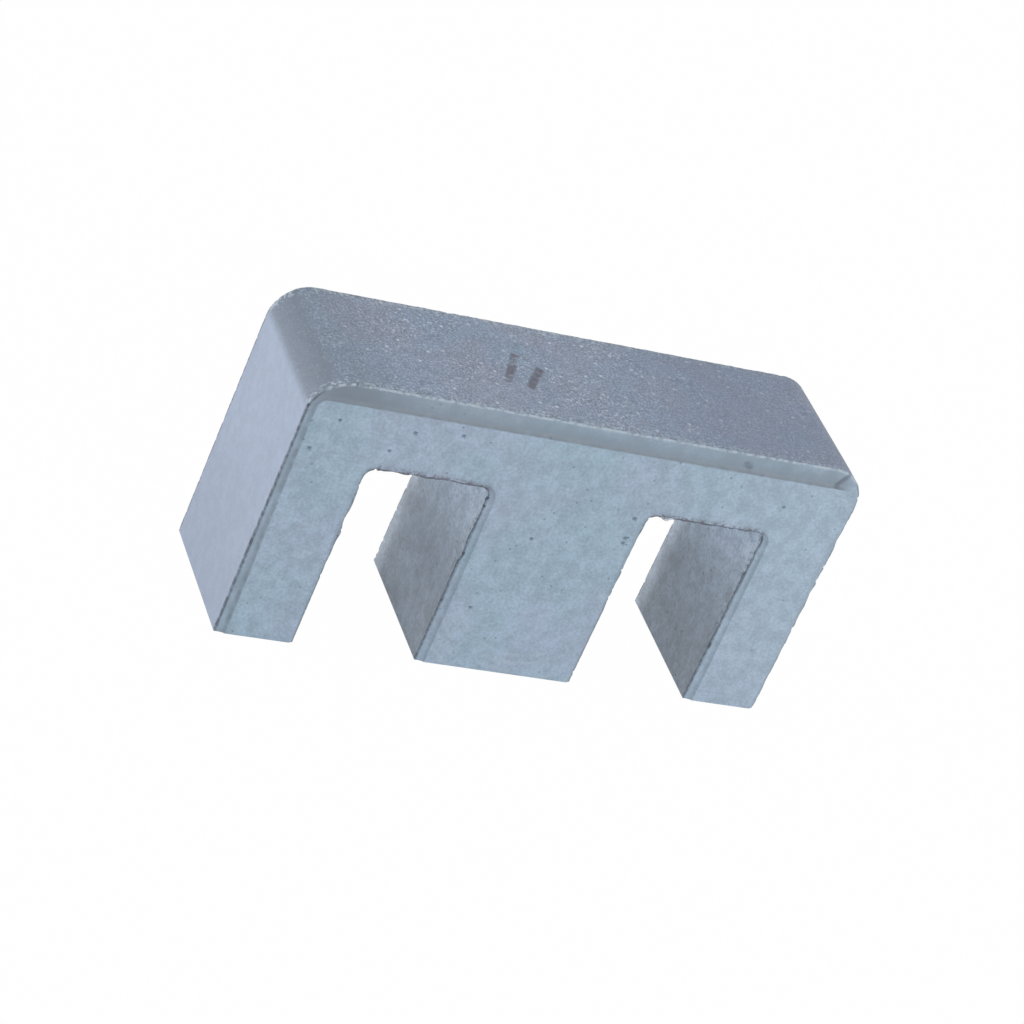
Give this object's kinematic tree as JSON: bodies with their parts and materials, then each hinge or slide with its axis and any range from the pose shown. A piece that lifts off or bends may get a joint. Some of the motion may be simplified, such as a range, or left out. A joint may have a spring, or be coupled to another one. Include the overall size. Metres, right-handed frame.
{
  "type": "ferrite e core",
  "caption": "E-shaped soft-ferrite core half with a yoke, two outer legs and a wider rectangular centre leg, for a transformer or choke.",
  "frame": {"origin": "centre of the plane of the three ground leg ends, where the centre leg's axis meets it", "axes": "+X along the core from outer leg to outer leg, +Y through the thickness with one E face at each end, +Z from the leg ends to the back of the yoke"},
  "size_m": [0.025, 0.007, 0.0125],
  "materials": {
    "sintered_ferrite": "matt grey sintered ferrite, pressed sides and ground leg ends"
  },
  "bodies": {
    "root": {"core": "sintered_ferrite"}
  },
  "joints": []
}
